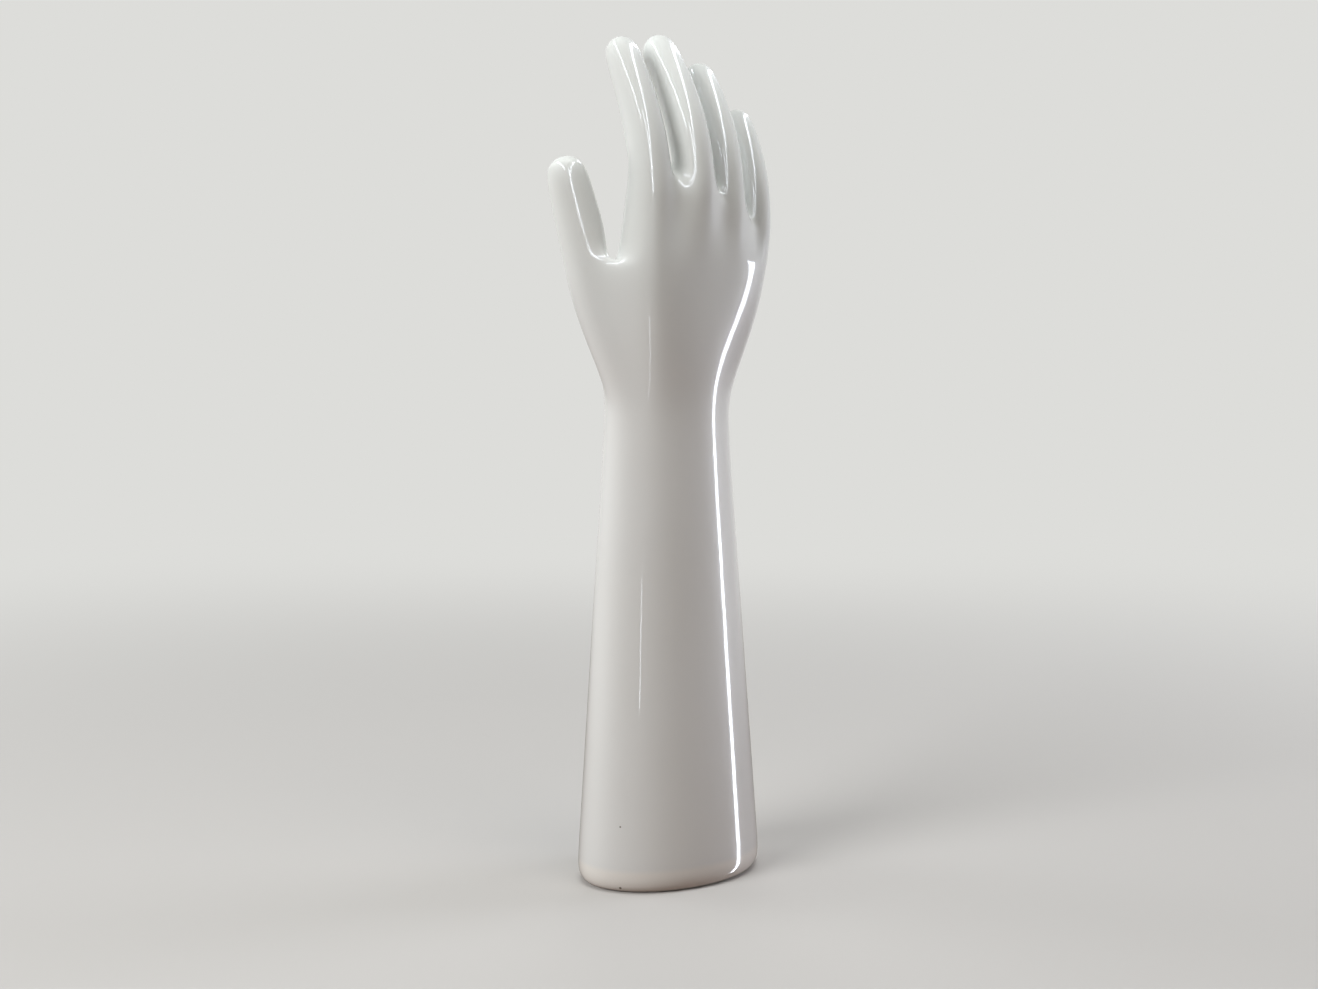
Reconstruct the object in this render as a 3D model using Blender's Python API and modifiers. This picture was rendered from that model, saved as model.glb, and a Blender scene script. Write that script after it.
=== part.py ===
"""A hand jewelry stand: one hollow glazed porcelain casting of a forearm and a right hand, standing on its cuff.

The skin is a coarse cage of rings, lofted from the foot up to each fingertip, then subdivided and given its
wall by Solidify. Metres, +Z up. The back of the hand faces -Y, the palm +Y and the thumb is at -X.
"""

import math
from collections import namedtuple

import bmesh
import bpy
from mathutils import Matrix, Vector

# Casting: its wall, and where the forearm's axis stands so that the whole casting is centred on the origin
WALL = 0.0045
SKIN_LEVELS = 1
AXIS_X = -0.00054

# Foot: a flat land round the open mouth, then a rounded heel up to the side of the cuff
LAND_INSET = 0.0075
LAND_WIDTH = 0.0065
HEEL_INSET = 0.0030
HEEL_HEIGHT = 0.0050
HEEL_TOP = 0.0170

# Forearm, an upright tapered oval
CUFF_WIDTH = 0.1040
CUFF_DEPTH = 0.0760
WRIST_WIDTH = 0.0682
WRIST_DEPTH = 0.0496
WRIST_HEIGHT = 0.2350
WRIST_SHIFT_X = -0.0018

# Palm, where the thumb leaves it and where the fingers leave it
PALM_WIDTH = 0.0880
PALM_DEPTH = 0.0330
PALM_SHIFT_X = 0.0080
PALM_SHIFT_Y = -0.0115
PALM_SQUARENESS = 2.6
THUMB_WEB_RISE = 0.0740
FINGER_WEB_RISE = 0.1180
KNUCKLE_WEB_DROP = 0.0060
PALM_WEB_LIFT = 0.0030
WEB_GAP = 0.0050
THUMB_WEB_REACH = 0.0060
THUMB_WEB_TUCK = 0.0030
THUMB_WEB_TURN = 0.0020
THENAR_SWELL = 0.0080
HYPOTHENAR_SWELL = 0.0080
PALM_HOLLOW = 0.0020

# Fingers, from the root's centre: its x and y, how far its web lies below the middle finger's, the length
# from web to tip, the lean towards the thumb's side, the curl towards the palm at root and tip, and the
# width and depth where it starts and at its tip
Finger = namedtuple("Finger", "x y drop length lean curl_root curl_tip width depth tip_width tip_depth")
INDEX = Finger(
    x=-0.0218, y=-0.0120, drop=0.0010, length=0.0706, lean=math.radians(1),
    curl_root=math.radians(9.5), curl_tip=math.radians(33),
    width=0.0198, depth=0.0232, tip_width=0.0182, tip_depth=0.0180,
)
MIDDLE = Finger(
    x=0.0012, y=-0.0175, drop=0.0000, length=0.0753, lean=math.radians(-0.5),
    curl_root=math.radians(10.5), curl_tip=math.radians(42),
    width=0.0195, depth=0.0230, tip_width=0.0186, tip_depth=0.0186,
)
RING = Finger(
    x=0.0222, y=-0.0165, drop=0.0090, length=0.0722, lean=math.radians(-4.5),
    curl_root=math.radians(8.5), curl_tip=math.radians(42),
    width=0.0185, depth=0.0220, tip_width=0.0172, tip_depth=0.0172,
)
LITTLE = Finger(
    x=0.0440, y=-0.0130, drop=0.0205, length=0.0607, lean=math.radians(-8),
    curl_root=math.radians(8), curl_tip=math.radians(40),
    width=0.0172, depth=0.0205, tip_width=0.0164, tip_depth=0.0166,
)
FINGERS = (INDEX, MIDDLE, RING, LITTLE)

# Thumb: its root stands in front of the palm's edge, turned to face the fingers
THUMB_X = -0.0410
THUMB_Y = 0.0130
THUMB_YAW = math.radians(60)
THUMB_WIDTH = 0.0255
THUMB_DEPTH = 0.0215
THUMB_LENGTH = 0.0525
THUMB_LEAN_OUT = math.radians(13.6)
THUMB_LEAN_PALM = math.radians(-3.8)
THUMB_TIP_WIDTH = 0.0212
THUMB_TIP_DEPTH = 0.0185

# Columns of the cage, counted from the thumb's outer side across the back of the hand
WRIST_COUNT = 32
DIGIT_COUNT = 8
KNUCKLE_FIRST = 4
THUMB_PALM_FIRST = 29


def cage_scale(count):
    """How much larger a ring of this many cage points is than the round it becomes when subdivided."""
    return 6 / (4 + 2 * math.cos(2 * math.pi / count))


def oval_ring(width, depth, height, shift_x):
    """Points evenly round an upright oval, from the thumb's side across the back of the hand."""
    scale = cage_scale(WRIST_COUNT) / 2
    ring = []
    for k in range(WRIST_COUNT):
        turn = math.pi + 2 * math.pi * k / WRIST_COUNT
        x = shift_x + width * scale * math.cos(turn)
        ring.append(Vector((x, depth * scale * math.sin(turn), height)))
    return ring


def digit_ring(centre, across, palmwards, width, depth):
    """Eight points round a digit: outer side, three on its back, inner side and three on its pad."""
    scale = cage_scale(DIGIT_COUNT) / 2
    ring = []
    for k in range(DIGIT_COUNT):
        turn = math.pi + 2 * math.pi * k / DIGIT_COUNT
        ring.append(centre + across * (width * scale * math.cos(turn)) + palmwards * (depth * scale * math.sin(turn)))
    return ring


def blend(low, high, share):
    """The ring that lies this share of the way from one ring to another."""
    return [a.lerp(b, share) for a, b in zip(low, high)]


def forearm_rings():
    """Rings from the mouth's edge round the heel and up to the wrist."""
    def at(height, inset=0.0):
        share = height / WRIST_HEIGHT
        width = CUFF_WIDTH + (WRIST_WIDTH - CUFF_WIDTH) * share - 2 * inset
        depth = CUFF_DEPTH + (WRIST_DEPTH - CUFF_DEPTH) * share - 2 * inset
        return oval_ring(width, depth, height, WRIST_SHIFT_X * share)

    rings = [at(0, LAND_INSET + LAND_WIDTH), at(0, LAND_INSET), at(0, HEEL_INSET), at(HEEL_HEIGHT), at(HEEL_TOP)]
    for share in (0.42, 0.78, 0.97):
        rings.append(at(WRIST_HEIGHT * share))
    return rings


def finger_root(finger, left_edge, right_edge):
    """The eight points where a finger leaves the palm; its sides stop at the webs beside it."""
    centre = Vector((finger.x, finger.y, WRIST_HEIGHT + FINGER_WEB_RISE - finger.drop))
    ring = digit_ring(centre, Vector((1, 0, 0)), Vector((0, 1, 0)), finger.width, finger.depth)
    for k, point in enumerate(ring):
        point.x = min(max(point.x, left_edge), right_edge)
        if k in (1, 2, 3):
            point.z -= KNUCKLE_WEB_DROP
        if k in (5, 6, 7):
            point.z += PALM_WEB_LIFT
    return ring


def finger_roots():
    """Each finger's root ring, from the index to the little finger."""
    scale = cage_scale(DIGIT_COUNT)
    edges = [INDEX.x - INDEX.width / 2 * scale]
    for one, other in zip(FINGERS, FINGERS[1:]):
        middle = (one.x + one.width / 2 + other.x - other.width / 2) / 2
        edges += [middle - WEB_GAP / 2, middle + WEB_GAP / 2]
    edges.append(LITTLE.x + LITTLE.width / 2 * scale)
    return [finger_root(f, edges[2 * i], edges[2 * i + 1]) for i, f in enumerate(FINGERS)]


def knuckle_ring(roots):
    """The palm's 26 top points, taken from the roots: radial side, back, ulnar side and palm."""
    back = [root[k] for root in roots for k in (1, 2, 3)]
    palm = [root[k] for root in reversed(roots) for k in (5, 6, 7)]
    return [roots[0][0], *back, roots[-1][4], *palm]


def palm_section(roots, height, width, depth, shift_x, shift_y):
    """A smooth squarish oval across the palm, with its points in the same columns as the finger roots."""
    knuckles = knuckle_ring(roots)
    low, high = knuckles[0].x, knuckles[13].x
    ring = []
    for k, point in enumerate(knuckles):
        across = 2 * (point.x - low) / (high - low) - 1
        side = 0 if k in (0, 13) else (-1 if k < 13 else 1)
        bulge = (1 - min(abs(across), 1) ** PALM_SQUARENESS) ** (1 / PALM_SQUARENESS)
        ring.append(Vector((shift_x + across * width / 2, shift_y + side * bulge * depth / 2, height)))
    return ring


def thumb_axes():
    """The thumb's root centre, and its directions across, palmwards and along."""
    centre = Vector((THUMB_X, THUMB_Y, WRIST_HEIGHT + THUMB_WEB_RISE))
    turn = Matrix.Rotation(-THUMB_YAW, 3, "Z")
    across, palmwards = turn @ Vector((1, 0, 0)), turn @ Vector((0, 1, 0))
    along = Vector((0, 0, 1)) - across * math.tan(THUMB_LEAN_OUT) + palmwards * math.tan(THUMB_LEAN_PALM)
    return centre, across, palmwards, along.normalized()


def swell(ring, share):
    """Fills the little finger's mound and the thumb's mound, and hollows the palm between them."""
    little_mound = zip(range(17, 22), (0.5, 1, 1, 0.7, 0.35))
    hollow = zip(range(22, 26), (0.6, 1, 1, 0.5))
    thumb_mound = zip(range(26, 31), (0.5, 1.1, 1.2, 0.3, 0.2))
    rise = math.sin(0.78 * math.pi * share)
    for size, columns in ((HYPOTHENAR_SWELL, little_mound), (-PALM_HOLLOW, hollow), (THENAR_SWELL, thumb_mound)):
        for k, part in columns:
            ring[k].y += size * part * rise
    return ring


def fork_ring(roots):
    """The 32 points at the thumb's web, and the two that turn it into a ring for the thumb and one for the palm.

    The points beside the web are drawn apart, so that its floor lies open between the thumb and the palm.
    """
    centre, across, palmwards, _ = thumb_axes()
    thumb = digit_ring(centre, across, palmwards, THUMB_WIDTH, THUMB_DEPTH)
    palm = palm_section(roots, centre.z, PALM_WIDTH, PALM_DEPTH, PALM_SHIFT_X, PALM_SHIFT_Y)
    palm[0].y += THUMB_WEB_REACH
    palm[25].x += THUMB_WEB_TURN / 2
    thumb[4] -= across * THUMB_WEB_TUCK + palmwards * THUMB_WEB_TURN
    thumb[5] -= across * THUMB_WEB_TURN
    return swell([*thumb[:4], *palm[1:], *thumb[5:]], 1), thumb[4], palm[0]


def digit_path(centre, across, start, end, length, steps=60):
    """Follows a digit from its root: a list of centres and directions, turning evenly from start to end."""
    path = [(centre.copy(), start)]
    point = centre.copy()
    for i in range(steps):
        along = start.slerp(end, (i + 0.5) / steps) if start.angle(end) > 1e-6 else start
        point = point + along * (length / steps)
        path.append((point.copy(), start.slerp(end, (i + 1) / steps) if start.angle(end) > 1e-6 else start))
    return path


def digit_rings(path, across, length, root_size, tip_size, shares):
    """Rings along a digit up to the round of its tip, then the tip's own ring and its last point."""
    def frame(share):
        point, along = path[round(share * (len(path) - 1))]
        side = (across - along * across.dot(along)).normalized()
        return point, along, side, along.cross(side)

    width, depth = root_size
    tip_width, tip_depth = tip_size
    reach = (tip_width + tip_depth) / 4
    shoulder = 1 - reach / length
    rings = []
    for share in (*shares, shoulder):
        point, along, side, palmwards = frame(share)
        taper = share / shoulder
        rings.append(digit_ring(point, side, palmwards, width + (tip_width - width) * taper,
                                depth + (tip_depth - depth) * taper))
    point, along, side, palmwards = frame(1.0)
    base = point - along * reach
    cap = digit_ring(base, side, palmwards, tip_width, tip_depth)
    for k, corner in enumerate(cap):
        out, up = (0.816, 0.577) if k % 2 else (0.707, 0.707)
        cap[k] = base + (corner - base) * out + along * (reach * up * 1.2)
    rings.append(cap)
    return rings, base + along * reach * 1.2


def finger_shape(finger):
    """A finger's rings and last point."""
    across = Vector((math.cos(finger.lean), 0, math.sin(finger.lean)))
    up = Vector((-math.sin(finger.lean), 0, math.cos(finger.lean)))
    palmwards = Vector((0, 1, 0))
    start = up * math.cos(finger.curl_root) + palmwards * math.sin(finger.curl_root)
    end = up * math.cos(finger.curl_tip) + palmwards * math.sin(finger.curl_tip)
    centre = Vector((finger.x, finger.y, WRIST_HEIGHT + FINGER_WEB_RISE - finger.drop))
    path = digit_path(centre, across, start, end, finger.length)
    return digit_rings(path, across, finger.length, (finger.width, finger.depth),
                       (finger.tip_width, finger.tip_depth), (0.16, 0.38, 0.62))


def thumb_shape():
    """The thumb's rings and last point."""
    centre, across, palmwards, along = thumb_axes()
    path = digit_path(centre, across, along, along, THUMB_LENGTH)
    return digit_rings(path, across, THUMB_LENGTH, (THUMB_WIDTH, THUMB_DEPTH),
                       (THUMB_TIP_WIDTH, THUMB_TIP_DEPTH), (0.25, 0.55))


def join_rings(mesh, lower, upper):
    """A band of faces between two rings of vertices."""
    count = len(lower)
    for k in range(count):
        mesh.faces.new((lower[k], lower[(k + 1) % count], upper[(k + 1) % count], upper[k]))


def add_digit(mesh, root, shape):
    """A digit's bands from its root ring, and the four faces that close its tip."""
    rings, last = shape
    below = root
    for ring in rings:
        above = [mesh.verts.new(point) for point in ring]
        join_rings(mesh, below, above)
        below = above
    end = mesh.verts.new(last)
    for k in (0, 2, 4, 6):
        mesh.faces.new((below[k - 1], below[k], end, below[k - 2]))


def add_web(mesh, one, other):
    """The two faces across the web between one digit's inner side and the next one's outer side."""
    mesh.faces.new((one[3], other[1], other[0], one[4]))
    mesh.faces.new((one[4], other[0], other[7], one[5]))


def hand_skin():
    """The whole outer skin as a cage, open at the mouth in its foot."""
    mesh = bmesh.new()
    roots = finger_roots()
    fork, thumb_side, palm_side = fork_ring(roots)
    wrist = oval_ring(WRIST_WIDTH, WRIST_DEPTH, WRIST_HEIGHT, WRIST_SHIFT_X)

    rings = forearm_rings()
    for share, weight in ((0.10, 0.07), (0.30, 0.34), (0.52, 0.62), (0.76, 0.86)):
        ring = blend(wrist, fork, weight)
        for point in ring:
            point.z = WRIST_HEIGHT + THUMB_WEB_RISE * share
        rings.append(swell(ring, share))
    rings.append(fork)

    below = [mesh.verts.new(point) for point in rings[0]]
    for ring in rings[1:]:
        above = [mesh.verts.new(point) for point in ring]
        join_rings(mesh, below, above)
        below = above

    thumb_inner = mesh.verts.new(thumb_side)
    palm_outer = mesh.verts.new(palm_side)
    thumb_root = [*below[:4], thumb_inner, *below[THUMB_PALM_FIRST:]]
    palm_root = [palm_outer, *below[KNUCKLE_FIRST:THUMB_PALM_FIRST]]
    mesh.faces.new((below[3], below[4], palm_outer, thumb_inner))
    mesh.faces.new((thumb_inner, palm_outer, below[28], below[29]))
    add_digit(mesh, thumb_root, thumb_shape())

    knuckles = knuckle_ring(roots)
    palm = [palm_side, *fork[KNUCKLE_FIRST:THUMB_PALM_FIRST]]
    lower = palm_root
    for share in (0.36, 0.72):
        upper = [mesh.verts.new(point) for point in blend(palm, knuckles, share)]
        join_rings(mesh, lower, upper)
        lower = upper
    top = [mesh.verts.new(point) for point in knuckles]
    join_rings(mesh, lower, top)

    root_rings = []
    for i, root in enumerate(roots):
        back = top[1 + 3 * i:4 + 3 * i]
        front = top[23 - 3 * i:26 - 3 * i]
        outer = top[0] if i == 0 else mesh.verts.new(root[0])
        inner = top[13] if i == 3 else mesh.verts.new(root[4])
        root_rings.append([outer, *back, inner, *front])
    for one, other in zip(root_rings, root_rings[1:]):
        add_web(mesh, one, other)
    for ring, finger in zip(root_rings, FINGERS):
        add_digit(mesh, ring, finger_shape(finger))
    bmesh.ops.recalc_face_normals(mesh, faces=mesh.faces)
    bmesh.ops.translate(mesh, verts=mesh.verts, vec=(AXIS_X, 0, 0))
    return mesh


def glazed_porcelain():
    """White glazed porcelain."""
    material = bpy.data.materials.new("glazed_porcelain")
    material.use_nodes = True
    shader = material.node_tree.nodes["Principled BSDF"]
    shader.inputs["Base Color"].default_value = (0.78, 0.79, 0.76, 1)
    shader.inputs["Roughness"].default_value = 0.08
    shader.inputs["Metallic"].default_value = 0
    return material


def build_hand(collection):
    """The casting as one object."""
    cage = hand_skin()
    data = bpy.data.meshes.new("porcelain_hand")
    cage.to_mesh(data)
    cage.free()
    hand = bpy.data.objects.new("porcelain_hand", data)
    collection.objects.link(hand)
    skin = hand.modifiers.new("skin", "SUBSURF")
    skin.levels = SKIN_LEVELS
    skin.render_levels = SKIN_LEVELS
    wall = hand.modifiers.new("wall", "SOLIDIFY")
    wall.thickness = WALL
    wall.offset = -1
    data.materials.append(glazed_porcelain())
    data.shade_smooth()
    return hand


def main():
    for obj in list(bpy.data.objects):
        bpy.data.objects.remove(obj)
    collection = bpy.data.collections.new("hand_jewelry_stand")
    bpy.context.scene.collection.children.link(collection)
    return build_hand(collection)


main()
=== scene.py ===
"""The looks of a hand jewelry stand, a hollow glazed porcelain casting of a forearm and a right hand.

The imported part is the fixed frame. The casting's skin is built again from the same coarse cage, subdivided
finely enough for the glaze to carry clean reflections, and stands for the frame's own solid. Metres, +Z up.
The back of the hand faces -Y, the palm +Y and the thumb is at -X.
"""

import math
from collections import namedtuple

import bmesh
import bpy
from bpy.props import FloatProperty, FloatVectorProperty, IntProperty, PointerProperty, StringProperty
from mathutils import Matrix, Vector


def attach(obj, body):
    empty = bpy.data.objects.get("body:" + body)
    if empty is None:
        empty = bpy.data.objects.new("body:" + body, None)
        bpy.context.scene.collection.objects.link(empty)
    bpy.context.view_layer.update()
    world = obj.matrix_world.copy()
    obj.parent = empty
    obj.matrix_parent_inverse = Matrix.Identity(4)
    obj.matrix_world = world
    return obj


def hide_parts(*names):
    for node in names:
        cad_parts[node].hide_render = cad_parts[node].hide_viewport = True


bl_info = {
    "name": "Hand Jewelry Stand",
    "version": (1, 0, 0),
    "blender": (4, 5, 0),
    "location": "3D View > Sidebar > Hand Stand",
    "description": "Glazed porcelain forearm and hand, with the studio that shows it",
    "category": "Add Mesh",
}

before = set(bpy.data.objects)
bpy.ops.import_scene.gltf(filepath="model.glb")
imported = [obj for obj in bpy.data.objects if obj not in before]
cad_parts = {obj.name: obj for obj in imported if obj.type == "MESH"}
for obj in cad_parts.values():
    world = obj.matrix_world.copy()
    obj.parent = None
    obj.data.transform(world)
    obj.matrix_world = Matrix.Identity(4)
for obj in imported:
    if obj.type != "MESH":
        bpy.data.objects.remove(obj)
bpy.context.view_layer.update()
BODY = "root"
NODE = "porcelain_hand"

# Forearm: where its axis stands, and how far the wrist leans from it
AXIS_X = -0.00054
WRIST_SHIFT_X = -0.0018

# Foot: a flat land round the open mouth, then a rounded heel up to the side of the cuff
LAND_INSET = 0.0075
LAND_WIDTH = 0.0065
HEEL_INSET = 0.0030
HEEL_HEIGHT = 0.0050
HEEL_TOP = 0.0170

# Palm, where the thumb leaves it and where the fingers leave it
PALM_SHIFT_X = 0.0080
PALM_SHIFT_Y = -0.0115
PALM_SQUARENESS = 2.6
THUMB_WEB_RISE = 0.0740
FINGER_WEB_RISE = 0.1180
KNUCKLE_WEB_DROP = 0.0060
PALM_WEB_LIFT = 0.0030
WEB_GAP = 0.0050
THUMB_WEB_REACH = 0.0060
THUMB_WEB_TUCK = 0.0030
THUMB_WEB_TURN = 0.0020
THENAR_SWELL = 0.0080
HYPOTHENAR_SWELL = 0.0080
PALM_HOLLOW = 0.0020

# Fingers, from the root's centre: its x and y, how far its web lies below the middle finger's, the lean
# towards the thumb's side, the curl towards the palm at root and tip, and the width and depth where it
# starts and at its tip
Finger = namedtuple("Finger", "x y drop lean curl_root curl_tip width depth tip_width tip_depth")
INDEX = Finger(
    x=-0.0218, y=-0.0120, drop=0.0010, lean=math.radians(1),
    curl_root=math.radians(9.5), curl_tip=math.radians(33),
    width=0.0198, depth=0.0232, tip_width=0.0182, tip_depth=0.0180,
)
MIDDLE = Finger(
    x=0.0012, y=-0.0175, drop=0.0000, lean=math.radians(-0.5),
    curl_root=math.radians(10.5), curl_tip=math.radians(42),
    width=0.0195, depth=0.0230, tip_width=0.0186, tip_depth=0.0186,
)
RING = Finger(
    x=0.0222, y=-0.0165, drop=0.0090, lean=math.radians(-4.5),
    curl_root=math.radians(8.5), curl_tip=math.radians(42),
    width=0.0185, depth=0.0220, tip_width=0.0172, tip_depth=0.0172,
)
LITTLE = Finger(
    x=0.0440, y=-0.0130, drop=0.0205, lean=math.radians(-8),
    curl_root=math.radians(8), curl_tip=math.radians(40),
    width=0.0172, depth=0.0205, tip_width=0.0164, tip_depth=0.0166,
)
FINGERS = (INDEX, MIDDLE, RING, LITTLE)

# Thumb: its root stands in front of the palm's edge, turned to face the fingers
THUMB_X = -0.0410
THUMB_Y = 0.0130
THUMB_YAW = math.radians(60)
THUMB_WIDTH = 0.0255
THUMB_DEPTH = 0.0215
THUMB_LEAN_OUT = math.radians(13.6)
THUMB_LEAN_PALM = math.radians(-3.8)
THUMB_TIP_WIDTH = 0.0212
THUMB_TIP_DEPTH = 0.0185

# Columns of the cage, counted from the thumb's outer side across the back of the hand: how many go round the
# wrist and round a digit, where the palm's begin, and where the thumb's begin again. The palm's own points
# are counted from its thumb side, and this one stands at the little finger's side
WRIST_COUNT = 32
DIGIT_COUNT = 8
PALM_FIRST = 4
THUMB_AGAIN = 29
LITTLE_SIDE = 13

# Rings of the cage, as shares of the way up: the forearm's to the wrist, the palm's from the thumb's web to
# the knuckles, a finger's and the thumb's
FOREARM_SHARES = (0.42, 0.78, 0.97)
PALM_SHARES = (0.36, 0.72)
FINGER_SHARES = (0.16, 0.38, 0.62)
THUMB_SHARES = (0.25, 0.55)

# From the wrist to the thumb's web: each ring's share of the height, and how far its shape has turned into
# the web's
WEB_SHARES = ((0.10, 0.07), (0.30, 0.34), (0.52, 0.62), (0.76, 0.86))

# Swellings of the palm's side: the first column, and each column's part from there on. Going up from the
# wrist to the thumb's web they follow a sine over this share of a half turn
LITTLE_MOUND = (17, (0.5, 1, 1, 0.7, 0.35))
HOLLOW = (22, (0.6, 1, 1, 0.5))
THUMB_MOUND = (26, (0.5, 1.1, 1.2, 0.3, 0.2))
SWELL_TURN = 0.78

# Path of a digit: its steps, and the angle in radians below which it counts as straight
PATH_STEPS = 60
STRAIGHT_BELOW = 1e-6

# Round tip of a digit: how high the cap is for its reach, and how far out and up its diagonal points and its
# side points lie
CAP_HEIGHT = 1.2
CAP_DIAGONAL = (0.816, 0.577)
CAP_SIDE = (0.707, 0.707)

# Marks in the glaze: the pinhole low on the cuff and the chip on the heel's edge
PINHOLE_PLACE = (-0.0451, -0.0158, 0.0330)
PINHOLE_SIZE = 0.0006
CHIP_PLACE = (-0.0452, -0.0159, 0.0025)
CHIP_SIZE = 0.0009

# The height up to which a paler, warmer band of painted bounce light runs round the heel, and the height in
# which it fades out
HEEL_BOUNCE_LIGHT_TOP = 0.0130
HEEL_BOUNCE_LIGHT_FADE = 0.0040

# Real sizes of the patterns: patches of clouding, cells that may hold a speck, the bare body's grain and the
# patches of soil on it
CLOUD_PATCH = 0.070
SPECK_CELL = 0.014
BISCUIT_GRAIN = 0.0012
SOIL_PATCH = 0.018

# Camera: the photograph's size in pixels, its focal length in them, and where the forearm stands in it
PHOTO_WIDTH = 1318
FOCAL_PIXELS = 1830
FOREARM_PIXEL = 669.5
SENSOR_WIDTH = 36

# Floor: its radius, how far it lies under the land so that the two don't meet, and where it starts and
# ends to run into the wall's colour
FLOOR_RADIUS = 8.0
FLOOR_DROP = 0.0002
FADE_START = 0.10
FADE_END = 1.55

# What the floor throws back on the casting is darker and warmer than it looks, so that the sides keep their
# shade
RETURN_TONE = "#8C7B72"

# Room that the glaze mirrors: the side that the pale wall is on, how far round the casting the dim room in
# front gives way to it, and where the darker ground starts below the horizon
WALL_DIRECTION = (0.643, 0.766, 0.0)
ROOM_TONE = "#5A534C"
ROOM_EDGES = (-0.75, -0.10)
GROUND_TONE = "#8A817B"
GROUND_EDGES = (-0.08, -0.20)

# Soft boxes light the porcelain's body: azimuth from the back of the hand towards the little finger,
# elevation, power in watts and tint; all are as wide, as far away and aimed at the same height
SoftBox = namedtuple("SoftBox", "name azimuth elevation power tint")
SOFT_BOXES = (
    SoftBox("left_box", -86, 28, 23.5, "#FBFDFC"),
    SoftBox("right_box", 72, 6, 20.5, "#F3F7FF"),
    SoftBox("top_box", 0, 89, 18.0, "#F7FCFB"),
    SoftBox("far_left_box", -150, 5, 12.0, "#FCFEFD"),
    SoftBox("far_right_box", 140, 5, 11.0, "#FCFEFD"),
    SoftBox("front_box", 0, 64, 6.0, "#FFF4EA"),
)
BOX_SIZE = 1.0
BOX_DISTANCE = 1.8
BOX_AIM = 0.22

# Strips show only in the glaze, as thin lines of light: a tall window, a long tube and a short one under the
# ceiling, a far doorway and a standing tube; their two ends, breadth and brightness
Strip = namedtuple("Strip", "name start end breadth brightness")
STRIPS = (
    Strip("window", (0.846, -0.308, -0.60), (0.801, -0.410, 0.345), 0.080, 15.0),
    Strip("long_tube", (2.30, 1.05, 1.68), (-5.98, -5.90, 1.68), 0.115, 16.0),
    Strip("short_tube", (-0.65, 0.98, 1.68), (-2.08, -1.04, 1.68), 0.115, 16.0),
    Strip("doorway", (-0.80, -0.75, 0.0), (-0.80, -0.75, 0.137), 0.024, 9.0),
    Strip("standing_tube", (-0.669, -0.743, 0.50), (-0.719, -0.695, 1.12), 0.06, 14.0),
)
STRIPS_FACE = Vector((0, 0, 0.33))
STRIP_TINT = "#EEF4FF"


class HandForm(bpy.types.PropertyGroup):
    """Sizes of the casting."""

    wall: FloatProperty(name="Wall", description="Thickness of the cast wall", default=0.0045, unit="LENGTH")
    cuff_width: FloatProperty(name="Cuff width", description="Width of the foot of the forearm",
                              default=0.1040, unit="LENGTH")
    cuff_depth: FloatProperty(name="Cuff depth", description="Depth of the foot of the forearm",
                              default=0.0760, unit="LENGTH")
    wrist_width: FloatProperty(name="Wrist width", description="Width of the wrist, its narrowest place",
                               default=0.0682, unit="LENGTH")
    wrist_depth: FloatProperty(name="Wrist depth", description="Depth of the wrist",
                               default=0.0496, unit="LENGTH")
    wrist_height: FloatProperty(name="Wrist height", description="Height of the wrist above the foot",
                                default=0.2350, unit="LENGTH")
    palm_width: FloatProperty(name="Palm width", description="Width across the palm at the thumb's web",
                              default=0.0880, unit="LENGTH")
    palm_depth: FloatProperty(name="Palm depth", description="Thickness of the palm at the thumb's web",
                              default=0.0330, unit="LENGTH")
    index_length: FloatProperty(name="Index finger", description="Length from its web to its tip",
                                default=0.0706, unit="LENGTH")
    middle_length: FloatProperty(name="Middle finger", description="Length from its web to its tip",
                                 default=0.0753, unit="LENGTH")
    ring_length: FloatProperty(name="Ring finger", description="Length from its web to its tip",
                               default=0.0722, unit="LENGTH")
    little_length: FloatProperty(name="Little finger", description="Length from its web to its tip",
                                 default=0.0607, unit="LENGTH")
    thumb_length: FloatProperty(name="Thumb", description="Length from its web to its tip",
                                default=0.0525, unit="LENGTH")
    smoothness: IntProperty(name="Smoothness", description="Subdivision levels of the skin",
                            default=3, min=1, max=3)


class GlazeLook(bpy.types.PropertyGroup):
    """Colours and surface of the glaze and of the bare porcelain."""

    white: FloatVectorProperty(name="White", description="Colour of the glazed body",
                               default=(0.902, 0.904, 0.901), subtype="COLOR_GAMMA", size=3, min=0, max=1)
    # Painted cool light: the fingers' colour is cooler, standing in for the cool window light that falls on
    # them
    cool_lit_white: FloatVectorProperty(name="Cool white", description="Colour of the glazed fingers",
                                    default=(0.884, 0.898, 0.892), subtype="COLOR_GAMMA", size=3,
                                    min=0, max=1)
    wave_depth: FloatProperty(name="Wave depth", description="How deep the glaze's slow waves are",
                              default=0.00006, unit="LENGTH")
    wave_length: FloatProperty(name="Wave length", description="From crest to crest of the glaze's waves",
                               default=0.028, unit="LENGTH")


class StudioSetup(bpy.types.PropertyGroup):
    """Where the camera stands and how pale the floor is."""

    camera_azimuth: FloatProperty(name="Camera azimuth",
                                  description="Turn from the back of the hand to the thumb",
                                  default=math.radians(40), subtype="ANGLE")
    camera_distance: FloatProperty(name="Camera distance", description="From the forearm's axis",
                                   default=0.919, unit="LENGTH")
    camera_height: FloatProperty(name="Camera height", description="Above the floor",
                                 default=0.2757, unit="LENGTH")
    camera_pitch: FloatProperty(name="Camera pitch", description="Downward tilt",
                                default=math.radians(5.15), subtype="ANGLE")
    floor_hex: StringProperty(name="Floor colour", description="Colour of the floor", default="#C6C3C1")
    wall_hex: StringProperty(name="Wall colour", description="Colour behind the object", default="#DDDDDA")


def cage_scale(count):
    """How much larger a ring of this many cage points is than the round it becomes when subdivided."""
    return 6 / (4 + 2 * math.cos(2 * math.pi / count))


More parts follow.
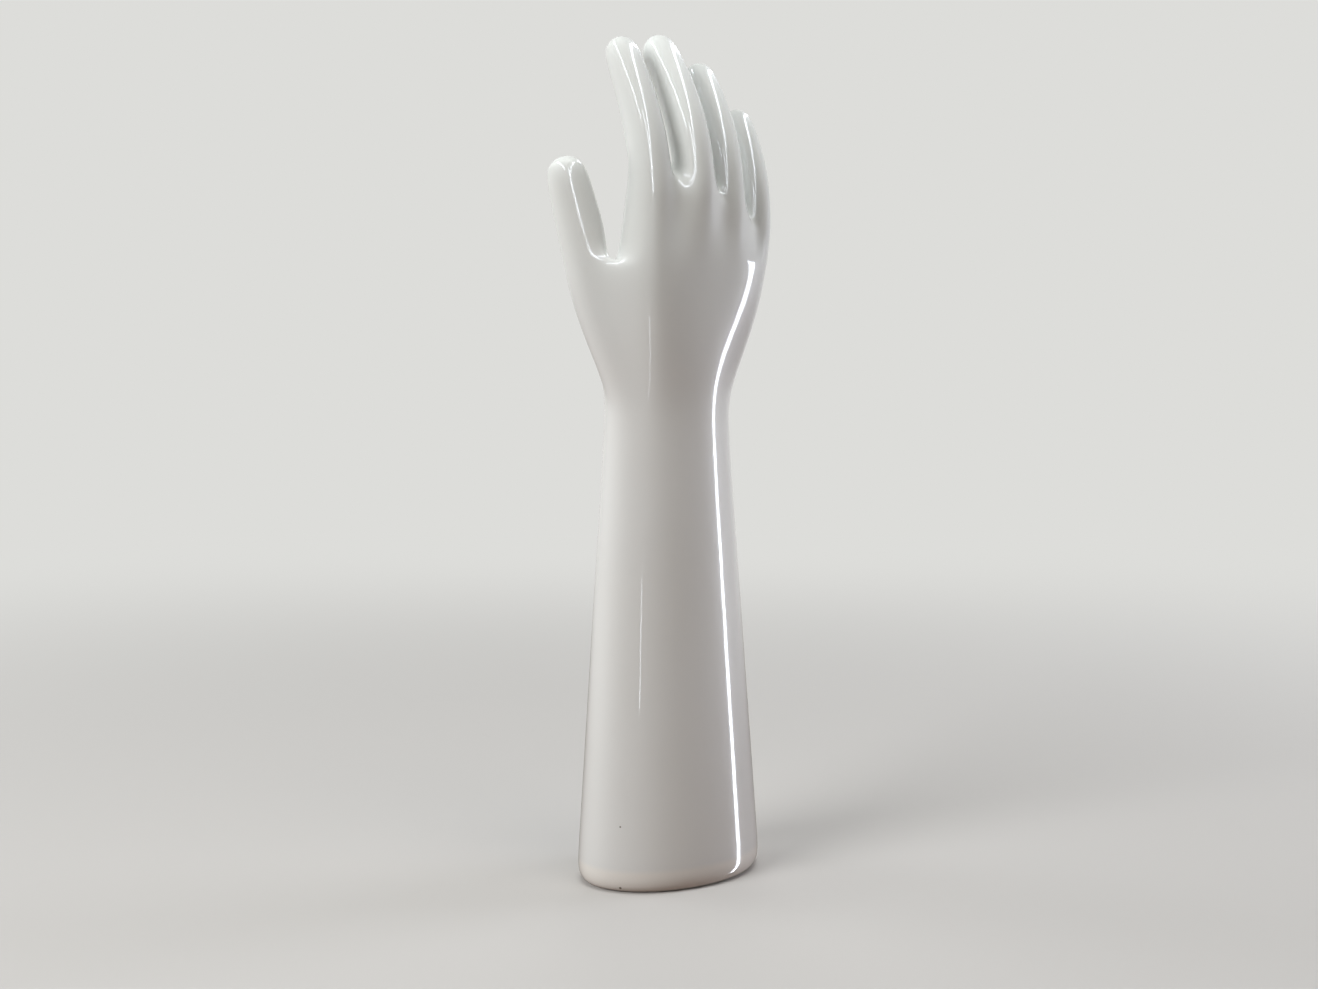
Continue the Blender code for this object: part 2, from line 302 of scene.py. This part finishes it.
def oval_ring(width, depth, height, shift_x):
    """Points evenly round an upright oval, from the thumb's side across the back of the hand."""
    scale = cage_scale(WRIST_COUNT) / 2
    ring = []
    for k in range(WRIST_COUNT):
        turn = math.pi + 2 * math.pi * k / WRIST_COUNT
        x = shift_x + width * scale * math.cos(turn)
        ring.append(Vector((x, depth * scale * math.sin(turn), height)))
    return ring


def digit_ring(centre, across, palmwards, width, depth):
    """Eight points round a digit: outer side, three on its back, inner side and three on its pad."""
    scale = cage_scale(DIGIT_COUNT) / 2
    ring = []
    for k in range(DIGIT_COUNT):
        turn = math.pi + 2 * math.pi * k / DIGIT_COUNT
        sideways = across * (width * scale * math.cos(turn))
        ring.append(centre + sideways + palmwards * (depth * scale * math.sin(turn)))
    return ring


def blend(low, high, share):
    """The ring that lies this share of the way from one ring to another."""
    return [a.lerp(b, share) for a, b in zip(low, high)]


def forearm_rings(form):
    """Rings from the mouth's edge round the heel and up to the wrist."""
    def at(height, inset=0.0):
        share = height / form.wrist_height
        width = form.cuff_width + (form.wrist_width - form.cuff_width) * share - 2 * inset
        depth = form.cuff_depth + (form.wrist_depth - form.cuff_depth) * share - 2 * inset
        return oval_ring(width, depth, height, WRIST_SHIFT_X * share)

    land = [at(0, LAND_INSET + LAND_WIDTH), at(0, LAND_INSET)]
    rings = [*land, at(0, HEEL_INSET), at(HEEL_HEIGHT), at(HEEL_TOP)]
    for share in FOREARM_SHARES:
        rings.append(at(form.wrist_height * share))
    return rings


def finger_centre(form, finger):
    """Where a finger's root is centred."""
    return Vector((finger.x, finger.y, form.wrist_height + FINGER_WEB_RISE - finger.drop))


def finger_root(form, finger, left_edge, right_edge):
    """The eight points where a finger leaves the palm; its sides stop at the webs beside it."""
    across, palmwards = Vector((1, 0, 0)), Vector((0, 1, 0))
    ring = digit_ring(finger_centre(form, finger), across, palmwards, finger.width, finger.depth)
    for k, point in enumerate(ring):
        point.x = min(max(point.x, left_edge), right_edge)
        if k in (1, 2, 3):
            point.z -= KNUCKLE_WEB_DROP
        if k in (5, 6, 7):
            point.z += PALM_WEB_LIFT
    return ring


def finger_roots(form):
    """Each finger's root ring, from the index to the little finger."""
    scale = cage_scale(DIGIT_COUNT)
    edges = [INDEX.x - INDEX.width / 2 * scale]
    for one, other in zip(FINGERS, FINGERS[1:]):
        middle = (one.x + one.width / 2 + other.x - other.width / 2) / 2
        edges += [middle - WEB_GAP / 2, middle + WEB_GAP / 2]
    edges.append(LITTLE.x + LITTLE.width / 2 * scale)
    return [finger_root(form, f, edges[2 * i], edges[2 * i + 1]) for i, f in enumerate(FINGERS)]


def knuckle_ring(roots):
    """The palm's 26 top points, taken from the roots: thumb's side, back, little finger's side and palm."""
    back = [root[k] for root in roots for k in (1, 2, 3)]
    palm = [root[k] for root in reversed(roots) for k in (5, 6, 7)]
    return [roots[0][0], *back, roots[-1][4], *palm]


def palm_section(form, roots, height):
    """A smooth squarish oval across the palm, with its points in the same columns as the finger roots."""
    knuckles = knuckle_ring(roots)
    low, high = knuckles[0].x, knuckles[LITTLE_SIDE].x
    ring = []
    for k, point in enumerate(knuckles):
        across = 2 * (point.x - low) / (high - low) - 1
        side = 0 if k in (0, LITTLE_SIDE) else (-1 if k < LITTLE_SIDE else 1)
        bulge = (1 - min(abs(across), 1) ** PALM_SQUARENESS) ** (1 / PALM_SQUARENESS)
        x = PALM_SHIFT_X + across * form.palm_width / 2
        ring.append(Vector((x, PALM_SHIFT_Y + side * bulge * form.palm_depth / 2, height)))
    return ring


def thumb_axes(form):
    """The thumb's root centre, and its directions across, palmwards and along."""
    centre = Vector((THUMB_X, THUMB_Y, form.wrist_height + THUMB_WEB_RISE))
    turn = Matrix.Rotation(-THUMB_YAW, 3, "Z")
    across, palmwards = turn @ Vector((1, 0, 0)), turn @ Vector((0, 1, 0))
    along = Vector((0, 0, 1)) - across * math.tan(THUMB_LEAN_OUT) + palmwards * math.tan(THUMB_LEAN_PALM)
    return centre, across, palmwards, along.normalized()


def swell(ring, share):
    """Fills the little finger's mound and the thumb's mound, and hollows the palm between them."""
    rise = math.sin(SWELL_TURN * math.pi * share)
    swellings = ((HYPOTHENAR_SWELL, LITTLE_MOUND), (-PALM_HOLLOW, HOLLOW), (THENAR_SWELL, THUMB_MOUND))
    for size, (first, parts) in swellings:
        for k, part in enumerate(parts, first):
            ring[k].y += size * part * rise
    return ring


def fork_ring(form, roots):
    """The 32 points at the thumb's web, and the two that close the thumb's ring and the palm's ring.

    The points beside the web are drawn apart, so that its floor lies open between the thumb and the palm.
    """
    centre, across, palmwards, _ = thumb_axes(form)
    thumb = digit_ring(centre, across, palmwards, THUMB_WIDTH, THUMB_DEPTH)
    palm = palm_section(form, roots, centre.z)
    palm[0].y += THUMB_WEB_REACH
    palm[-1].x += THUMB_WEB_TURN / 2
    thumb[4] -= across * THUMB_WEB_TUCK + palmwards * THUMB_WEB_TURN
    thumb[5] -= across * THUMB_WEB_TURN
    return swell([*thumb[:4], *palm[1:], *thumb[5:]], 1), thumb[4], palm[0]


def digit_path(centre, start, end, length):
    """Follows a digit from its root: a list of centres and directions, turning evenly from start to end."""
    def direction(share):
        return start.slerp(end, share) if start.angle(end) > STRAIGHT_BELOW else start

    path = [(centre.copy(), start)]
    point = centre.copy()
    for i in range(PATH_STEPS):
        point = point + direction((i + 0.5) / PATH_STEPS) * (length / PATH_STEPS)
        path.append((point.copy(), direction((i + 1) / PATH_STEPS)))
    return path


def digit_rings(path, across, length, root_size, tip_size, shares):
    """Rings along a digit up to the round of its tip, then the tip's own ring and its last point."""
    def at(share):
        point, along = path[round(share * (len(path) - 1))]
        side = (across - along * across.dot(along)).normalized()
        return point, along, side, along.cross(side)

    width, depth = root_size
    tip_width, tip_depth = tip_size
    reach = (tip_width + tip_depth) / 4
    shoulder = 1 - reach / length
    rings = []
    for share in (*shares, shoulder):
        point, along, side, palmwards = at(share)
        taper = share / shoulder
        rings.append(digit_ring(point, side, palmwards, width + (tip_width - width) * taper,
                                depth + (tip_depth - depth) * taper))
    point, along, side, palmwards = at(1.0)
    base = point - along * reach
    cap = digit_ring(base, side, palmwards, tip_width, tip_depth)
    for k, corner in enumerate(cap):
        out, up = CAP_DIAGONAL if k % 2 else CAP_SIDE
        cap[k] = base + (corner - base) * out + along * (reach * up * CAP_HEIGHT)
    rings.append(cap)
    return rings, base + along * reach * CAP_HEIGHT


def finger_shape(form, finger, length):
    """A finger's rings and last point."""
    across = Vector((math.cos(finger.lean), 0, math.sin(finger.lean)))
    up = Vector((-math.sin(finger.lean), 0, math.cos(finger.lean)))
    palmwards = Vector((0, 1, 0))
    start = up * math.cos(finger.curl_root) + palmwards * math.sin(finger.curl_root)
    end = up * math.cos(finger.curl_tip) + palmwards * math.sin(finger.curl_tip)
    path = digit_path(finger_centre(form, finger), start, end, length)
    return digit_rings(path, across, length, (finger.width, finger.depth),
                       (finger.tip_width, finger.tip_depth), FINGER_SHARES)


def thumb_shape(form):
    """The thumb's rings and last point."""
    centre, across, _, along = thumb_axes(form)
    path = digit_path(centre, along, along, form.thumb_length)
    return digit_rings(path, across, form.thumb_length, (THUMB_WIDTH, THUMB_DEPTH),
                       (THUMB_TIP_WIDTH, THUMB_TIP_DEPTH), THUMB_SHARES)


def join_rings(mesh, lower, upper):
    """A band of faces between two rings of vertices."""
    count = len(lower)
    return [mesh.faces.new((lower[k], lower[(k + 1) % count], upper[(k + 1) % count], upper[k]))
            for k in range(count)]


def add_digit(mesh, root, shape):
    """A digit's bands from its root ring, and the four faces that close its tip."""
    rings, last = shape
    below = root
    for ring in rings:
        above = [mesh.verts.new(point) for point in ring]
        join_rings(mesh, below, above)
        below = above
    end = mesh.verts.new(last)
    for k in (0, 2, 4, 6):
        mesh.faces.new((below[k - 1], below[k], end, below[k - 2]))


def add_web(mesh, one, other):
    """The two faces across the web between one digit's inner side and the next one's outer side."""
    mesh.faces.new((one[3], other[1], other[0], one[4]))
    mesh.faces.new((one[4], other[0], other[7], one[5]))


def add_arm(mesh, rings):
    """The forearm and the wrist up to the fork; the land of the foot takes the bare porcelain."""
    below = [mesh.verts.new(point) for point in rings[0]]
    for number, ring in enumerate(rings[1:]):
        above = [mesh.verts.new(point) for point in ring]
        for face in join_rings(mesh, below, above):
            face.material_index = 1 if number == 0 else 0
        below = above
    return below


def hand_skin(form):
    """The whole outer skin as a cage, open at the mouth in its foot."""
    mesh = bmesh.new()
    roots = finger_roots(form)
    fork, thumb_side, palm_side = fork_ring(form, roots)
    wrist = oval_ring(form.wrist_width, form.wrist_depth, form.wrist_height, WRIST_SHIFT_X)

    rings = forearm_rings(form)
    for share, weight in WEB_SHARES:
        ring = blend(wrist, fork, weight)
        for point in ring:
            point.z = form.wrist_height + THUMB_WEB_RISE * share
        rings.append(swell(ring, share))
    rings.append(fork)
    below = add_arm(mesh, rings)

    thumb_inner = mesh.verts.new(thumb_side)
    palm_outer = mesh.verts.new(palm_side)
    thumb_root = [*below[:PALM_FIRST], thumb_inner, *below[THUMB_AGAIN:]]
    palm_root = [palm_outer, *below[PALM_FIRST:THUMB_AGAIN]]
    mesh.faces.new((below[PALM_FIRST - 1], below[PALM_FIRST], palm_outer, thumb_inner))
    mesh.faces.new((thumb_inner, palm_outer, below[THUMB_AGAIN - 1], below[THUMB_AGAIN]))
    add_digit(mesh, thumb_root, thumb_shape(form))

    knuckles = knuckle_ring(roots)
    palm = [palm_side, *fork[PALM_FIRST:THUMB_AGAIN]]
    lower = palm_root
    for share in PALM_SHARES:
        upper = [mesh.verts.new(point) for point in blend(palm, knuckles, share)]
        join_rings(mesh, lower, upper)
        lower = upper
    top = [mesh.verts.new(point) for point in knuckles]
    join_rings(mesh, lower, top)

    root_rings = []
    for i, root in enumerate(roots):
        back = top[1 + 3 * i:4 + 3 * i]
        front = top[23 - 3 * i:26 - 3 * i]
        outer = top[0] if i == 0 else mesh.verts.new(root[0])
        inner = top[LITTLE_SIDE] if i == 3 else mesh.verts.new(root[4])
        root_rings.append([outer, *back, inner, *front])
    for one, other in zip(root_rings, root_rings[1:]):
        add_web(mesh, one, other)
    lengths = (form.index_length, form.middle_length, form.ring_length, form.little_length)
    for ring, finger, length in zip(root_rings, FINGERS, lengths):
        add_digit(mesh, ring, finger_shape(form, finger, length))
    bmesh.ops.recalc_face_normals(mesh, faces=mesh.faces)
    bmesh.ops.translate(mesh, verts=mesh.verts, vec=(AXIS_X, 0, 0))
    return mesh


def linear(channel):
    """One sRGB channel, 0 to 1, as linear light."""
    return channel / 12.92 if channel <= 0.04045 else ((channel + 0.055) / 1.055) ** 2.4


def colour(srgb):
    """A shader colour from an sRGB hex value or from three sRGB channels."""
    if isinstance(srgb, str):
        srgb = [int(srgb[i:i + 2], 16) / 255 for i in (1, 3, 5)]
    return (*(linear(channel) for channel in srgb), 1)


def add_node(tree, kind, settings=None, links=None):
    """Adds a node, sets its properties and its inputs' values, and links outputs to its inputs."""
    node = tree.nodes.new(kind)
    for key, value in (settings or {}).items():
        if isinstance(key, str) and key in node.bl_rna.properties:
            setattr(node, key, value)
        else:
            node.inputs[key].default_value = value
    for key, output in (links or {}).items():
        tree.links.new(output, node.inputs[key])
    return node


def place(name, data):
    """A new object for this data, in the scene."""
    obj = bpy.data.objects.new(name, data)
    bpy.context.scene.collection.objects.link(obj)
    return obj


def new_material(name):
    """An empty material with its surface output."""
    material = bpy.data.materials.new(name)
    material.use_nodes = True
    tree = material.node_tree
    tree.nodes.clear()
    return material, tree, add_node(tree, "ShaderNodeOutputMaterial")


def mark_mask(tree, where, centre, size):
    """White inside a small round mark, black outside it."""
    far = add_node(tree, "ShaderNodeVectorMath", {"operation": "DISTANCE", 1: centre}, {0: where})
    return add_node(tree, "ShaderNodeMapRange", {"From Min": size, "From Max": size / 2},
                    {"Value": far.outputs["Value"]}).outputs["Result"]


def glazed_porcelain(look, form):
    """White porcelain, slip cast, with a clear gloss glaze fired over it.

    The eye sees a deep even white with sharp, slightly wavering reflections, a faint green-grey where the
    glaze has pooled in the webs, and a few pinholes.
    """
    material, tree, output = new_material("glazed_porcelain")
    where = add_node(tree, "ShaderNodeTexCoord").outputs["Object"]
    height = add_node(tree, "ShaderNodeSeparateXYZ", links={0: where}).outputs["Z"]

    # Painted cool light: the fingers are tinted cooler than the forearm, standing in for the cool window
    # light on them
    rise = add_node(tree, "ShaderNodeMapRange", {
        "interpolation_type": "SMOOTHSTEP", "From Min": form.wrist_height,
        "From Max": form.wrist_height + FINGER_WEB_RISE}, {"Value": height})
    body = add_node(tree, "ShaderNodeMix", {
        "data_type": "RGBA", 6: colour(look.white), 7: colour(look.cool_lit_white)}, {0: rise.outputs["Result"]})

    # Faint clouding from the firing
    cloud = add_node(tree, "ShaderNodeTexNoise", {"Scale": 1 / CLOUD_PATCH, "Detail": 2.0}, {"Vector": where})
    cloud_share = add_node(tree, "ShaderNodeMapRange", {"From Min": 0.35, "From Max": 0.7, "To Max": 0.35},
                           {"Value": cloud.outputs["Fac"]})
    clouded = add_node(tree, "ShaderNodeMix", {"data_type": "RGBA", 7: colour("#E0DFDC")},
                       {0: cloud_share.outputs["Result"], 6: body.outputs[2]})

    # Glaze pools in the hollows, where pointiness is under a half, and shows its own green-grey there
    curve = add_node(tree, "ShaderNodeNewGeometry").outputs["Pointiness"]
    pool_share = add_node(tree, "ShaderNodeMapRange", {"From Min": 0.49, "From Max": 0.42, "To Max": 0.55},
                          {"Value": curve})
    pooled = add_node(tree, "ShaderNodeMix", {"data_type": "RGBA", 7: colour("#C3CDC6")},
                      {0: pool_share.outputs["Result"], 6: clouded.outputs[2]})

    # Painted warm bounce light: a paler, warmer band round the heel, above the bare land
    bounce_light_band = add_node(tree, "ShaderNodeMapRange", {
        "interpolation_type": "SMOOTHSTEP", "From Min": HEEL_BOUNCE_LIGHT_TOP, "From Max": HEEL_BOUNCE_LIGHT_TOP - HEEL_BOUNCE_LIGHT_FADE,
        "To Max": 0.6}, {"Value": height})
    bounce_lit = add_node(tree, "ShaderNodeMix", {"data_type": "RGBA", 7: colour("#F4EFE8")},
                      {0: bounce_light_band.outputs["Result"], 6: pooled.outputs[2]})

    # Pinholes and iron specks about 0.7 mm across, one in about each seventh cell
    cells = add_node(tree, "ShaderNodeTexVoronoi", {"Scale": 1 / SPECK_CELL}, {"Vector": where})
    near = add_node(tree, "ShaderNodeMapRange", {"From Min": 0.030, "From Max": 0.018}, {
        "Value": cells.outputs["Distance"]})
    pick = add_node(tree, "ShaderNodeSeparateColor", links={0: cells.outputs["Color"]})
    few = add_node(tree, "ShaderNodeMath", {"operation": "GREATER_THAN", 1: 0.86}, {0: pick.outputs["Red"]})
    specks = add_node(tree, "ShaderNodeMath", {"operation": "MULTIPLY"}, {
        0: near.outputs["Result"], 1: few.outputs[0]})
    pinhole = mark_mask(tree, where, PINHOLE_PLACE, PINHOLE_SIZE)
    chip = mark_mask(tree, where, CHIP_PLACE, CHIP_SIZE)
    marks = add_node(tree, "ShaderNodeMath", {"operation": "MAXIMUM"}, {0: pinhole, 1: chip})
    soft_specks = add_node(tree, "ShaderNodeMath", {"operation": "MULTIPLY", 1: 0.4}, {0: specks.outputs[0]})
    dark = add_node(tree, "ShaderNodeMath", {"operation": "MAXIMUM"}, {
        0: marks.outputs[0], 1: soft_specks.outputs[0]})
    marked = add_node(tree, "ShaderNodeMix", {"data_type": "RGBA", 7: colour("#6E655A")},
                      {0: dark.outputs[0], 6: bounce_lit.outputs[2]})

    # Slow waves in the fired glaze
    waves = add_node(tree, "ShaderNodeTexNoise", {"Scale": 1 / look.wave_length, "Detail": 1.0},
                     {"Vector": where})
    bump = add_node(tree, "ShaderNodeBump", {"Strength": 1.0, "Distance": look.wave_depth}, {
        "Height": waves.outputs["Fac"]})

    # The coat is the clear glaze, the base the white body seen through it
    shader = add_node(tree, "ShaderNodeBsdfPrincipled", {
        "Roughness": 0.28, "Specular IOR Level": 0.25, "IOR": 1.5,
        "Coat Weight": 1.0, "Coat Roughness": 0.03, "Coat IOR": 1.5,
    }, {
        "Base Color": marked.outputs[2], "Normal": bump.outputs["Normal"],
        "Coat Normal": bump.outputs["Normal"],
    })
    tree.links.new(shader.outputs["BSDF"], output.inputs["Surface"])
    return material


def bare_porcelain():
    """Biscuit porcelain, fired without glaze: the land of the foot, wiped clean, and the casting's inside.

    The eye sees a dry, matt, slightly warm white with a fine grain, greyer where it has been stood down.
    """
    material, tree, output = new_material("bare_porcelain")
    where = add_node(tree, "ShaderNodeTexCoord").outputs["Object"]
    grain = add_node(tree, "ShaderNodeTexNoise", {"Scale": 1 / BISCUIT_GRAIN, "Detail": 3.0},
                     {"Vector": where})
    patches = add_node(tree, "ShaderNodeTexNoise", {"Scale": 1 / SOIL_PATCH, "Detail": 3.0},
                       {"Vector": where})
    soil = add_node(tree, "ShaderNodeMapRange", {"From Min": 0.40, "From Max": 0.75, "To Max": 0.6},
                    {"Value": patches.outputs["Fac"]})
    base = add_node(tree, "ShaderNodeMix", {"data_type": "RGBA", 6: colour("#DAD5CA"), 7: colour("#B9B0A2")},
                    {0: soil.outputs["Result"]})
    bump = add_node(tree, "ShaderNodeBump", {"Strength": 0.6, "Distance": 0.0001}, {
        "Height": grain.outputs["Fac"]})
    shader = add_node(tree, "ShaderNodeBsdfPrincipled", {"Roughness": 0.75, "Specular IOR Level": 0.3}, {
        "Base Color": base.outputs[2], "Normal": bump.outputs["Normal"]})
    tree.links.new(shader.outputs["BSDF"], output.inputs["Surface"])
    return material


def fine_skin(form):
    """The casting as one object: the cage, subdivided, with its wall turned inwards."""
    cage = hand_skin(form)
    data = bpy.data.meshes.new("hand_casting")
    cage.to_mesh(data)
    cage.free()
    casting = place("hand_casting", data)
    skin = casting.modifiers.new("skin", "SUBSURF")
    skin.levels = form.smoothness
    skin.render_levels = form.smoothness
    wall = casting.modifiers.new("wall", "SOLIDIFY")
    wall.thickness = form.wall
    wall.offset = -1
    wall.material_offset = 1
    wall.material_offset_rim = 1
    data.shade_smooth()
    return casting


def add_floor(studio):
    """A wide plain floor, which runs into the pale wall far behind the casting."""
    mesh = bmesh.new()
    bmesh.ops.create_circle(mesh, cap_ends=True, segments=96, radius=FLOOR_RADIUS)
    data = bpy.data.meshes.new("floor")
    mesh.to_mesh(data)
    mesh.free()
    floor = place("floor", data)
    floor.location.z = -FLOOR_DROP
    floor.visible_glossy = False
    material, tree, output = new_material("matt_floor_paint")
    where = add_node(tree, "ShaderNodeTexCoord").outputs["Object"]
    far = add_node(tree, "ShaderNodeVectorMath", {"operation": "LENGTH"}, {0: where})
    fade = add_node(tree, "ShaderNodeMapRange", {
        "interpolation_type": "SMOOTHERSTEP", "From Min": FADE_START, "From Max": FADE_END}, {
        "Value": far.outputs["Value"]})
    path = add_node(tree, "ShaderNodeLightPath")
    share = add_node(tree, "ShaderNodeMath", {"operation": "MULTIPLY"}, {
        0: fade.outputs["Result"], 1: path.outputs["Is Camera Ray"]})

    # Pale to the eye, and a darker tone for the light that it throws back on the casting
    tone = add_node(tree, "ShaderNodeMix", {
        "data_type": "RGBA", 6: colour(studio.floor_hex), 7: colour(RETURN_TONE)}, {
        0: path.outputs["Is Diffuse Ray"]})
    paint = add_node(tree, "ShaderNodeBsdfPrincipled", {"Roughness": 0.8, "Specular IOR Level": 0.0}, {
        "Base Color": tone.outputs[2]})
    wall = add_node(tree, "ShaderNodeEmission", {"Color": colour(studio.wall_hex), "Strength": 1.0})
    mix = add_node(tree, "ShaderNodeMixShader", links={
        0: share.outputs[0], 1: paint.outputs[0], 2: wall.outputs[0]})
    tree.links.new(mix.outputs[0], output.inputs["Surface"])
    data.materials.append(material)
    return floor


def add_world(studio):
    """A pale wall for the camera, the same wall and a dim room for the glaze, and no light of its own."""
    world = bpy.data.worlds.new("studio")
    bpy.context.scene.world = world
    world.use_nodes = True
    tree = world.node_tree
    tree.nodes.clear()
    path = add_node(tree, "ShaderNodeLightPath")
    wall = add_node(tree, "ShaderNodeBackground", {"Color": colour(studio.wall_hex), "Strength": 1.0})

    # The glaze mirrors the wall behind the casting, the darker room in front of it and a darker ground
    towards = add_node(tree, "ShaderNodeTexCoord").outputs["Generated"]
    facing = add_node(tree, "ShaderNodeVectorMath", {"operation": "DOT_PRODUCT", 1: WALL_DIRECTION},
                      {0: towards})
    side = add_node(tree, "ShaderNodeMapRange", {"From Min": ROOM_EDGES[0], "From Max": ROOM_EDGES[1]}, {
        "Value": facing.outputs["Value"]})
    room = add_node(tree, "ShaderNodeMix", {
        "data_type": "RGBA", 6: colour(ROOM_TONE), 7: colour(studio.wall_hex)}, {0: side.outputs["Result"]})
    rise = add_node(tree, "ShaderNodeSeparateXYZ", links={0: towards}).outputs["Z"]
    below = add_node(tree, "ShaderNodeMapRange", {
        "interpolation_type": "SMOOTHSTEP", "From Min": GROUND_EDGES[0], "From Max": GROUND_EDGES[1]}, {
        "Value": rise})
    around = add_node(tree, "ShaderNodeMix", {"data_type": "RGBA", 7: colour(GROUND_TONE)}, {
        0: below.outputs["Result"], 6: room.outputs[2]})
    mirrored = add_node(tree, "ShaderNodeBackground", {"Strength": 1.0}, {"Color": around.outputs[2]})

    # The soft boxes alone light the body
    dark = add_node(tree, "ShaderNodeBackground", {"Strength": 0.0})
    unseen = add_node(tree, "ShaderNodeMixShader", links={
        0: path.outputs["Is Glossy Ray"], 1: dark.outputs[0], 2: mirrored.outputs[0]})
    seen = add_node(tree, "ShaderNodeMixShader", links={
        0: path.outputs["Is Camera Ray"], 1: unseen.outputs[0], 2: wall.outputs[0]})
    add_node(tree, "ShaderNodeOutputWorld", links={0: seen.outputs[0]})
    return world


def add_soft_box(box):
    """A round soft lamp that lights the body of the porcelain and doesn't show in its glaze."""
    azimuth, elevation = math.radians(box.azimuth), math.radians(box.elevation)
    away = Vector((math.sin(azimuth) * math.cos(elevation), -math.cos(azimuth) * math.cos(elevation),
                   math.sin(elevation)))
    data = bpy.data.lights.new(box.name, "AREA")
    data.shape = "DISK"
    data.size = BOX_SIZE
    data.energy = box.power
    data.color = colour(box.tint)[:3]
    light = place(box.name, data)
    light.location = Vector((0, 0, BOX_AIM)) + away * BOX_DISTANCE
    light.rotation_mode = "QUATERNION"
    light.rotation_quaternion = (-away).to_track_quat("-Z", "Y")
    light.visible_camera = False
    light.visible_glossy = False
    return light


def add_strip(strip):
    """A long thin lamp that shows in the glaze as a line and adds no light to the body."""
    start, end = Vector(strip.start), Vector(strip.end)
    middle = (start + end) / 2
    along = (end - start).normalized()
    away = middle - STRIPS_FACE
    away = (away - along * along.dot(away)).normalized()
    data = bpy.data.lights.new(strip.name, "AREA")
    data.shape = "RECTANGLE"
    data.size = (end - start).length
    data.size_y = strip.breadth
    data.energy = strip.brightness * math.pi * data.size * data.size_y
    data.color = colour(STRIP_TINT)[:3]
    light = place(strip.name, data)
    turn = Matrix((along, away.cross(along), away)).transposed()
    light.matrix_world = Matrix.Translation(middle) @ turn.to_4x4()
    light.visible_camera = False
    light.visible_diffuse = False
    return light


def add_camera(studio):
    """The camera at the photograph's viewing angle."""
    turn = studio.camera_azimuth
    back = Vector((-math.sin(turn), -math.cos(turn), 0))
    right = Vector((math.cos(turn), -math.sin(turn), 0))
    data = bpy.data.cameras.new("camera")
    data.sensor_width = SENSOR_WIDTH
    data.lens = FOCAL_PIXELS / PHOTO_WIDTH * SENSOR_WIDTH
    camera = place("camera", data)
    camera.location = Vector((AXIS_X, 0, studio.camera_height)) + back * studio.camera_distance
    yaw = math.atan((FOREARM_PIXEL - PHOTO_WIDTH / 2) / FOCAL_PIXELS)
    ahead = -back * math.cos(yaw) - right * math.sin(yaw)
    ahead = ahead * math.cos(studio.camera_pitch) - Vector((0, 0, math.sin(studio.camera_pitch)))
    camera.rotation_mode = "QUATERNION"
    camera.rotation_quaternion = ahead.to_track_quat("-Z", "Y")
    bpy.context.scene.camera = camera
    return camera


class HAND_OT_casting(bpy.types.Operator):
    """Build the porcelain forearm and hand"""

    bl_idname = "hand_stand.casting"
    bl_label = "Porcelain Casting"

    def execute(self, context):
        form, look = context.scene.hand_form, context.scene.hand_glaze
        casting = fine_skin(form)
        casting.data.materials.append(glazed_porcelain(look, form))
        casting.data.materials.append(bare_porcelain())
        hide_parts(NODE)
        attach(casting, BODY)
        return {"FINISHED"}


class HAND_OT_studio(bpy.types.Operator):
    """Set the floor, the light and the camera"""

    bl_idname = "hand_stand.studio"
    bl_label = "Studio"

    def execute(self, context):
        studio = context.scene.hand_studio
        context.scene.view_settings.view_transform = "Standard"
        add_floor(studio)
        add_world(studio)
        for box in SOFT_BOXES:
            add_soft_box(box)
        for strip in STRIPS:
            add_strip(strip)
        add_camera(studio)
        return {"FINISHED"}


class HAND_PT_sidebar(bpy.types.Panel):
    """The casting's sizes, its glaze and the studio"""

    bl_idname = "HAND_PT_sidebar"
    bl_label = "Hand Jewelry Stand"
    bl_space_type = "VIEW_3D"
    bl_region_type = "UI"
    bl_category = "Hand Stand"

    def draw(self, context):
        scene = context.scene
        for operator, groups in (("hand_stand.casting", (scene.hand_form, scene.hand_glaze)),
                                 ("hand_stand.studio", (scene.hand_studio,))):
            box = self.layout.box()
            for group in groups:
                for name in group.bl_rna.properties.keys():
                    if name not in ("rna_type", "name"):
                        box.prop(group, name)
            box.operator(operator)


CLASSES = (HandForm, GlazeLook, StudioSetup, HAND_OT_casting, HAND_OT_studio, HAND_PT_sidebar)


def register():
    """Makes the classes and the settings known to Blender."""
    for each in CLASSES:
        bpy.utils.register_class(each)
    bpy.types.Scene.hand_form = PointerProperty(type=HandForm)
    bpy.types.Scene.hand_glaze = PointerProperty(type=GlazeLook)
    bpy.types.Scene.hand_studio = PointerProperty(type=StudioSetup)


def unregister():
    """Takes them away again."""
    del bpy.types.Scene.hand_studio
    del bpy.types.Scene.hand_glaze
    del bpy.types.Scene.hand_form
    for each in reversed(CLASSES):
        bpy.utils.unregister_class(each)


def main():
    """Builds the casting and the studio, and keeps their sizes."""
    register()
    bpy.ops.hand_stand.casting()
    bpy.ops.hand_stand.studio()


if __name__ == "__main__":
    main()
